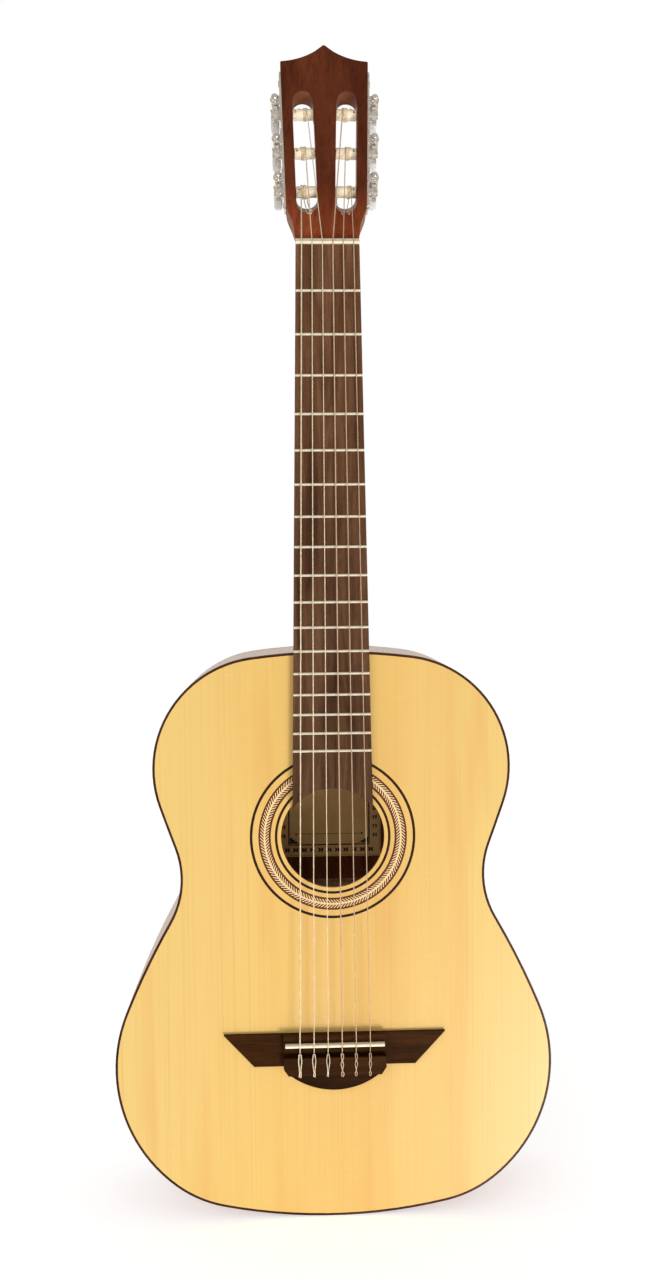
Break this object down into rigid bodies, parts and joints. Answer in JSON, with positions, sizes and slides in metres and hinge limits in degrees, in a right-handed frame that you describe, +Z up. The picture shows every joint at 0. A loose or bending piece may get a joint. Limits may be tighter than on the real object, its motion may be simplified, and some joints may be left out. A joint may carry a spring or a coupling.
{
  "type": "classical guitar",
  "caption": "Hollow-bodied nylon-strung guitar with a slotted, tilted head, worm-geared tuners, a round soundhole with a rosette and a tie bridge.",
  "frame": {"origin": "on the centreline, at the nut's front edge, in the plane of the soundboard's face", "axes": "+Z up along the neck to the head, +X to the treble side, the soundboard faces -Y"},
  "size_m": [0.3638, 0.114, 0.9768],
  "materials": {
    "spruce_top": "thin gloss lacquer",
    "mahogany_body": "gloss lacquer",
    "mahogany_neck": "satin lacquer",
    "mahogany_veneer": "gloss lacquer",
    "rosewood": "oiled, satin",
    "fret_wire": "polished",
    "ivory_plastic": "satin",
    "rosette_inlay": "gloss lacquer",
    "dark_binding": "gloss",
    "inner_wood": "raw",
    "plated_metal": "polished plating",
    "nylon_string": "clear drawn nylon",
    "wound_string": "silvered winding",
    "roller_plastic": "satin",
    "pearl_button": "pearl sheen"
  },
  "bodies": {
    "body": {"soundboard": "spruce_top", "back_plate": "mahogany_body", "rib_bass": "mahogany_body", "rib_treble": "mahogany_body", "neck": "mahogany_neck", "headstock": "mahogany_neck", "head_veneer": "mahogany_veneer", "heel_cap": "rosewood", "fingerboard": "rosewood", "frets": "fret_wire", "nut": "ivory_plastic", "saddle": "ivory_plastic", "bridge": "rosewood", "rosette": "rosette_inlay", "top_binding": "dark_binding", "back_binding": "dark_binding", "neck_block": "inner_wood", "tail_block": "inner_wood", "linings": "inner_wood", "soundboard_braces": "inner_wood", "back_braces": "inner_wood", "tuner_plate_treble": "plated_metal", "tuner_plate_bass": "plated_metal", "plate_screws": "plated_metal", "string_1": "nylon_string", "string_2": "nylon_string", "string_3": "nylon_string", "string_4": "wound_string", "string_5": "wound_string", "string_6": "wound_string"},
    "roller_1": {"string_roller_1": "roller_plastic", "gear_1": "plated_metal", "string_winding_1": "nylon_string"},
    "worm_1": {"worm_shaft_1": "plated_metal", "button_1": "pearl_button"},
    "roller_2": {"string_roller_2": "roller_plastic", "gear_2": "plated_metal", "string_winding_2": "nylon_string"},
    "worm_2": {"worm_shaft_2": "plated_metal", "button_2": "pearl_button"},
    "roller_3": {"string_roller_3": "roller_plastic", "gear_3": "plated_metal", "string_winding_3": "nylon_string"},
    "worm_3": {"worm_shaft_3": "plated_metal", "button_3": "pearl_button"},
    "roller_4": {"string_roller_4": "roller_plastic", "gear_4": "plated_metal", "string_winding_4": "wound_string"},
    "worm_4": {"worm_shaft_4": "plated_metal", "button_4": "pearl_button"},
    "roller_5": {"string_roller_5": "roller_plastic", "gear_5": "plated_metal", "string_winding_5": "wound_string"},
    "worm_5": {"worm_shaft_5": "plated_metal", "button_5": "pearl_button"},
    "roller_6": {"string_roller_6": "roller_plastic", "gear_6": "plated_metal", "string_winding_6": "wound_string"},
    "worm_6": {"worm_shaft_6": "plated_metal", "button_6": "pearl_button"}
  },
  "joints": [
    {"name": "roller_1_turn", "type": "hinge", "parent": "body", "child": "roller_1", "pos_m": [0.03323, 0.01897, 0.04896], "axis": [0.9996, -0.0063, -0.0272], "continuous": true},
    {"name": "button_1_turn", "type": "hinge", "parent": "body", "child": "worm_1", "pos_m": [0.03929, 0.02101, 0.05776], "axis": [0, -0.9744, 0.225], "continuous": true},
    {"name": "roller_2_turn", "type": "hinge", "parent": "body", "child": "roller_2", "pos_m": [0.0342, 0.02678, 0.08277], "axis": [0.9996, -0.0063, -0.0272], "continuous": true},
    {"name": "button_2_turn", "type": "hinge", "parent": "body", "child": "worm_2", "pos_m": [0.04025, 0.02881, 0.09157], "axis": [0, -0.9744, 0.225], "continuous": true},
    {"name": "roller_3_turn", "type": "hinge", "parent": "body", "child": "roller_3", "pos_m": [0.03519, 0.03472, 0.11716], "axis": [0.9996, -0.0063, -0.0272], "continuous": true},
    {"name": "button_3_turn", "type": "hinge", "parent": "body", "child": "worm_3", "pos_m": [0.04124, 0.03675, 0.12597], "axis": [0, -0.9744, 0.225], "continuous": true},
    {"name": "roller_4_turn", "type": "hinge", "parent": "body", "child": "roller_4", "pos_m": [-0.03519, 0.03472, 0.11716], "axis": [-0.9996, -0.0063, -0.0272], "continuous": true},
    {"name": "button_4_turn", "type": "hinge", "parent": "body", "child": "worm_4", "pos_m": [-0.04124, 0.03675, 0.12597], "axis": [0, -0.9744, 0.225], "continuous": true},
    {"name": "roller_5_turn", "type": "hinge", "parent": "body", "child": "roller_5", "pos_m": [-0.0342, 0.02678, 0.08277], "axis": [-0.9996, -0.0063, -0.0272], "continuous": true},
    {"name": "button_5_turn", "type": "hinge", "parent": "body", "child": "worm_5", "pos_m": [-0.04025, 0.02881, 0.09157], "axis": [0, -0.9744, 0.225], "continuous": true},
    {"name": "roller_6_turn", "type": "hinge", "parent": "body", "child": "roller_6", "pos_m": [-0.03323, 0.01897, 0.04896], "axis": [-0.9996, -0.0063, -0.0272], "continuous": true},
    {"name": "button_6_turn", "type": "hinge", "parent": "body", "child": "worm_6", "pos_m": [-0.03929, 0.02101, 0.05776], "axis": [0, -0.9744, 0.225], "continuous": true}
  ],
  "couplings": [
    {"joint": "button_1_turn", "follows": "roller_1_turn", "ratio": -14},
    {"joint": "button_2_turn", "follows": "roller_2_turn", "ratio": -14},
    {"joint": "button_3_turn", "follows": "roller_3_turn", "ratio": -14},
    {"joint": "button_4_turn", "follows": "roller_4_turn", "ratio": -14},
    {"joint": "button_5_turn", "follows": "roller_5_turn", "ratio": -14},
    {"joint": "button_6_turn", "follows": "roller_6_turn", "ratio": -14}
  ]
}
